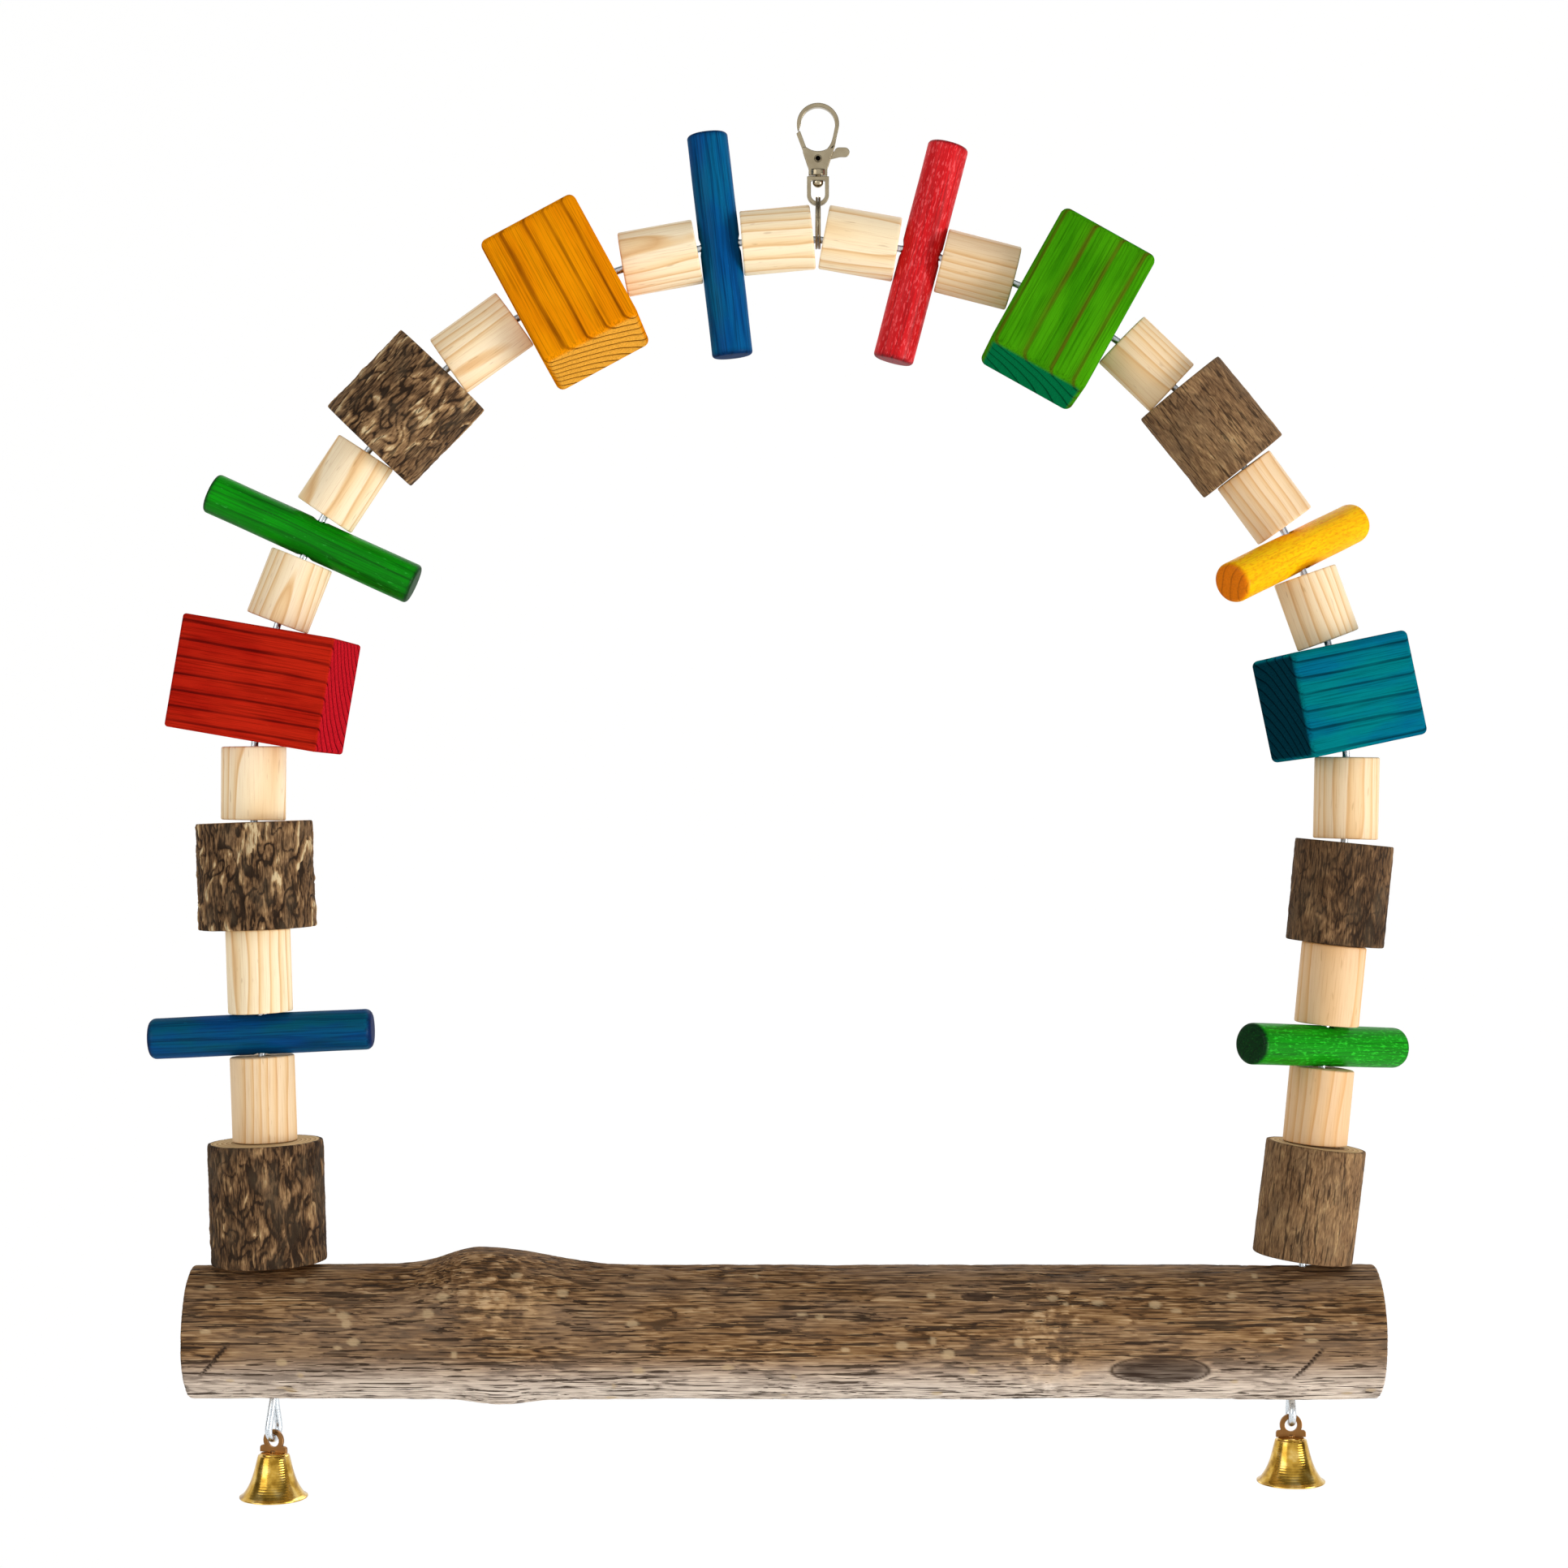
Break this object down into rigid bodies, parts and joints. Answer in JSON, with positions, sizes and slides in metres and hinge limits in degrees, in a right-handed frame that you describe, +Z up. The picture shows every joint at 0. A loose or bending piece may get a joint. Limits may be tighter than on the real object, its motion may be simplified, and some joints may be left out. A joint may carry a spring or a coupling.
{
  "type": "bird swing",
  "caption": "Hanging bird swing: an arch of coloured and natural wooden beads on a wire, a bark perch, a swivel snap hook and bells below.",
  "frame": {"origin": "centre of the round part of the snap hook's bow, where the swing hangs", "axes": "+Z up, +X along the perch to the right as seen from the front, +Y to the back"},
  "size_m": [0.4269, 0.0592, 0.4677],
  "materials": {
    "blue_bar": "hardwood dowel stained blue",
    "branch_bark": "natural branch with its bark on",
    "branch_slice": "branch slice with its bark on, pale sawn ends",
    "copper_strap": "copper coloured stamped strap",
    "green_bar": "hardwood dowel stained green",
    "green_block": "sawn softwood stained green",
    "nickel_cast": "nickel plated zinc casting, polished",
    "nickel_turned": "nickel plated, turned",
    "nickel_wire": "nickel plated flat spring wire",
    "orange_block": "sawn softwood stained orange",
    "raw_pine": "bare turned pine",
    "red_bar": "hardwood dowel stained red",
    "red_block": "sawn softwood stained red",
    "spring_steel": "bare spring steel",
    "spun_brass": "spun brass, polished",
    "teal_block": "sawn softwood stained teal",
    "yellow_bar": "hardwood dowel stained yellow",
    "zinc_wire": "bright zinc plated steel wire"
  },
  "bodies": {
    "hook": {"hook_body": "nickel_cast", "gate_rivet": "nickel_turned", "gate_spring": "spring_steel", "swivel_post": "nickel_turned"},
    "gate": {"gate_lever": "nickel_cast"},
    "swivel": {"swivel_eye": "nickel_cast"},
    "ring": {"split_ring": "nickel_wire"},
    "arch": {"arch_wire": "zinc_wire", "perch": "branch_bark"},
    "left_16_dowel": {"left_16_dowel": "raw_pine"},
    "left_15_blue_bar": {"left_15_blue_bar": "blue_bar"},
    "left_14_dowel": {"left_14_dowel": "raw_pine"},
    "left_13_orange_block": {"left_13_orange_block": "orange_block"},
    "left_12_dowel": {"left_12_dowel": "raw_pine"},
    "left_11_bark": {"left_11_bark": "branch_slice"},
    "left_10_dowel": {"left_10_dowel": "raw_pine"},
    "left_9_green_bar": {"left_9_green_bar": "green_bar"},
    "left_8_dowel": {"left_8_dowel": "raw_pine"},
    "left_7_red_block": {"left_7_red_block": "red_block"},
    "left_6_dowel": {"left_6_dowel": "raw_pine"},
    "left_5_bark": {"left_5_bark": "branch_slice"},
    "left_4_dowel": {"left_4_dowel": "raw_pine"},
    "left_3_blue_bar": {"left_3_blue_bar": "blue_bar"},
    "left_2_dowel": {"left_2_dowel": "raw_pine"},
    "left_1_bark": {"left_1_bark": "branch_slice"},
    "right_16_dowel": {"right_16_dowel": "raw_pine"},
    "right_15_red_bar": {"right_15_red_bar": "red_bar"},
    "right_14_dowel": {"right_14_dowel": "raw_pine"},
    "right_13_green_block": {"right_13_green_block": "green_block"},
    "right_12_dowel": {"right_12_dowel": "raw_pine"},
    "right_11_bark": {"right_11_bark": "branch_slice"},
    "right_10_dowel": {"right_10_dowel": "raw_pine"},
    "right_9_yellow_bar": {"right_9_yellow_bar": "yellow_bar"},
    "right_8_dowel": {"right_8_dowel": "raw_pine"},
    "right_7_teal_block": {"right_7_teal_block": "teal_block"},
    "right_6_dowel": {"right_6_dowel": "raw_pine"},
    "right_5_bark": {"right_5_bark": "branch_slice"},
    "right_4_dowel": {"right_4_dowel": "raw_pine"},
    "right_3_green_bar": {"right_3_green_bar": "green_bar"},
    "right_2_dowel": {"right_2_dowel": "raw_pine"},
    "right_1_bark": {"right_1_bark": "branch_slice"},
    "left_bell": {"left_bell_lug": "copper_strap", "left_bell": "spun_brass"},
    "left_clapper": {"left_clapper": "zinc_wire"},
    "right_bell": {"right_bell_lug": "copper_strap", "right_bell": "spun_brass"},
    "right_clapper": {"right_clapper": "zinc_wire"}
  },
  "joints": [
    {"name": "gate_pivot", "type": "hinge", "parent": "hook", "child": "gate", "pos_m": [0, 0, -0.0116], "axis": [0, 1, 0], "range_deg": [0, 26], "stiffness_Nm_per_rad": 0.05, "springref_deg": -20.05, "deforming": ["gate_spring"]},
    {"name": "arch_swing", "type": "hinge", "parent": "ring", "child": "arch", "pos_m": [0, 0, -0.0386], "axis": [1, 0, 0], "range_deg": [-40, 40]},
    {"name": "ring_sway", "type": "hinge", "parent": "swivel", "child": "ring", "pos_m": [0, 0, -0.02595], "axis": [0, 1, 0], "range_deg": [-5, 5]},
    {"name": "swivel_turn", "type": "hinge", "parent": "hook", "child": "swivel", "pos_m": [0, 0, -0.02595], "axis": [0, 0, 1], "continuous": true},
    {"name": "left_bell_swing", "type": "hinge", "parent": "arch", "child": "left_bell", "pos_m": [-0.18268, 0, -0.44091], "axis": [0.342, 0.9397, 0], "range_deg": [-70, 70]},
    {"name": "right_bell_swing", "type": "hinge", "parent": "arch", "child": "right_bell", "pos_m": [0.15873, 0, -0.43571], "axis": [0, 1, 0], "range_deg": [-70, 70]},
    {"name": "left_clapper_swing", "type": "hinge", "parent": "left_bell", "child": "left_clapper", "pos_m": [-0.18268, 0, -0.44836], "axis": [0.342, 0.9397, 0], "range_deg": [-35, 35]},
    {"name": "right_clapper_swing", "type": "hinge", "parent": "right_bell", "child": "right_clapper", "pos_m": [0.15873, 0, -0.44316], "axis": [0, 1, 0], "range_deg": [-35, 35]},
    {"name": "left_15_blue_bar_spin", "type": "hinge", "parent": "arch", "child": "left_15_blue_bar", "pos_m": [-0.03292, 0, -0.04055], "axis": [0.9933, 0, 0.1155], "continuous": true},
    {"name": "left_9_green_bar_spin", "type": "hinge", "parent": "arch", "child": "left_9_green_bar", "pos_m": [-0.16962, 0, -0.13896], "axis": [0.4153, 0, 0.9097], "continuous": true},
    {"name": "left_3_blue_bar_spin", "type": "hinge", "parent": "arch", "child": "left_3_blue_bar", "pos_m": [-0.18681, 0, -0.30518], "axis": [-0.0454, 0, 0.999], "continuous": true},
    {"name": "right_15_red_bar_spin", "type": "hinge", "parent": "arch", "child": "right_15_red_bar", "pos_m": [0.03453, 0, -0.0431], "axis": [-0.9679, 0, 0.2513], "continuous": true},
    {"name": "right_9_yellow_bar_spin", "type": "hinge", "parent": "arch", "child": "right_9_yellow_bar", "pos_m": [0.15985, 0, -0.1435], "axis": [-0.4393, 0, 0.8983], "continuous": true},
    {"name": "right_3_green_bar_spin", "type": "hinge", "parent": "arch", "child": "right_3_green_bar", "pos_m": [0.16995, 0, -0.30915], "axis": [0.0976, 0, 0.9952], "continuous": true},
    {"name": "left_13_orange_block_spin", "type": "hinge", "parent": "arch", "child": "left_13_orange_block", "pos_m": [-0.08457, 0, -0.05663], "axis": [0.8796, 0, 0.4756], "continuous": true},
    {"name": "left_7_red_block_spin", "type": "hinge", "parent": "arch", "child": "left_7_red_block", "pos_m": [-0.18592, 0, -0.18806], "axis": [0.1687, 0, 0.9857], "continuous": true},
    {"name": "right_13_green_block_spin", "type": "hinge", "parent": "arch", "child": "right_13_green_block", "pos_m": [0.0835, 0, -0.06228], "axis": [-0.8725, 0, 0.4886], "continuous": true},
    {"name": "right_7_teal_block_spin", "type": "hinge", "parent": "arch", "child": "right_7_teal_block", "pos_m": [0.17472, 0, -0.19219], "axis": [-0.2045, 0, 0.9789], "continuous": true},
    {"name": "left_11_bark_spin", "type": "hinge", "parent": "arch", "child": "left_11_bark", "pos_m": [-0.13815, 0, -0.09527], "axis": [0.6924, 0, 0.7215], "continuous": true},
    {"name": "left_5_bark_spin", "type": "hinge", "parent": "arch", "child": "left_5_bark", "pos_m": [-0.18867, 0, -0.25187], "axis": [-0.0349, 0, 0.9994], "continuous": true},
    {"name": "left_1_bark_spin", "type": "hinge", "parent": "arch", "child": "left_1_bark", "pos_m": [-0.18485, 0, -0.3614], "axis": [-0.0349, 0, 0.9994], "continuous": true},
    {"name": "right_11_bark_spin", "type": "hinge", "parent": "arch", "child": "right_11_bark", "pos_m": [0.13195, 0, -0.10155], "axis": [-0.6313, 0, 0.7755], "continuous": true},
    {"name": "right_5_bark_spin", "type": "hinge", "parent": "arch", "child": "right_5_bark", "pos_m": [0.17498, 0, -0.25781], "axis": [0.0976, 0, 0.9952], "continuous": true},
    {"name": "right_1_bark_spin", "type": "hinge", "parent": "arch", "child": "right_1_bark", "pos_m": [0.16484, 0, -0.36124], "axis": [0.1236, 0, 0.9923], "continuous": true},
    {"name": "left_16_dowel_spin", "type": "hinge", "parent": "arch", "child": "left_16_dowel", "pos_m": [-0.01369, 0, -0.03886], "axis": [0.9959, 0, 0.0907], "continuous": true},
    {"name": "left_14_dowel_spin", "type": "hinge", "parent": "arch", "child": "left_14_dowel", "pos_m": [-0.05298, 0, -0.04484], "axis": [0.9841, 0, 0.1778], "continuous": true},
    {"name": "left_12_dowel_spin", "type": "hinge", "parent": "arch", "child": "left_12_dowel", "pos_m": [-0.11291, 0, -0.07315], "axis": [0.8124, 0, 0.5831], "continuous": true},
    {"name": "left_10_dowel_spin", "type": "hinge", "parent": "arch", "child": "left_10_dowel", "pos_m": [-0.15865, 0, -0.12049], "axis": [0.5541, 0, 0.8324], "continuous": true},
    {"name": "left_8_dowel_spin", "type": "hinge", "parent": "arch", "child": "left_8_dowel", "pos_m": [-0.17729, 0, -0.15651], "axis": [0.3657, 0, 0.9307], "continuous": true},
    {"name": "left_6_dowel_spin", "type": "hinge", "parent": "arch", "child": "left_6_dowel", "pos_m": [-0.18939, 0, -0.22105], "axis": [0.0057, 0, 1], "continuous": true},
    {"name": "left_4_dowel_spin", "type": "hinge", "parent": "arch", "child": "left_4_dowel", "pos_m": [-0.18755, 0, -0.28392], "axis": [-0.0349, 0, 0.9994], "continuous": true},
    {"name": "left_2_dowel_spin", "type": "hinge", "parent": "arch", "child": "left_2_dowel", "pos_m": [-0.18606, 0, -0.3267], "axis": [-0.0349, 0, 0.9994], "continuous": true},
    {"name": "right_16_dowel_spin", "type": "hinge", "parent": "arch", "child": "right_16_dowel", "pos_m": [0.01429, 0, -0.03984], "axis": [-0.9846, 0, 0.1746], "continuous": true},
    {"name": "right_14_dowel_spin", "type": "hinge", "parent": "arch", "child": "right_14_dowel", "pos_m": [0.05349, 0, -0.04863], "axis": [-0.9689, 0, 0.2475], "continuous": true},
    {"name": "right_12_dowel_spin", "type": "hinge", "parent": "arch", "child": "right_12_dowel", "pos_m": [0.11032, 0, -0.0803], "axis": [-0.7198, 0, 0.6942], "continuous": true},
    {"name": "right_10_dowel_spin", "type": "hinge", "parent": "arch", "child": "right_10_dowel", "pos_m": [0.14974, 0, -0.12523], "axis": [-0.5918, 0, 0.8061], "continuous": true},
    {"name": "right_8_dowel_spin", "type": "hinge", "parent": "arch", "child": "right_8_dowel", "pos_m": [0.16731, 0, -0.16206], "axis": [-0.3421, 0, 0.9396], "continuous": true},
    {"name": "right_6_dowel_spin", "type": "hinge", "parent": "arch", "child": "right_6_dowel", "pos_m": [0.1773, 0, -0.22598], "axis": [0.0212, 0, 0.9998], "continuous": true},
    {"name": "right_4_dowel_spin", "type": "hinge", "parent": "arch", "child": "right_4_dowel", "pos_m": [0.17197, 0, -0.28851], "axis": [0.0976, 0, 0.9952], "continuous": true},
    {"name": "right_2_dowel_spin", "type": "hinge", "parent": "arch", "child": "right_2_dowel", "pos_m": [0.168, 0, -0.32904], "axis": [0.0976, 0, 0.9952], "continuous": true}
  ]
}
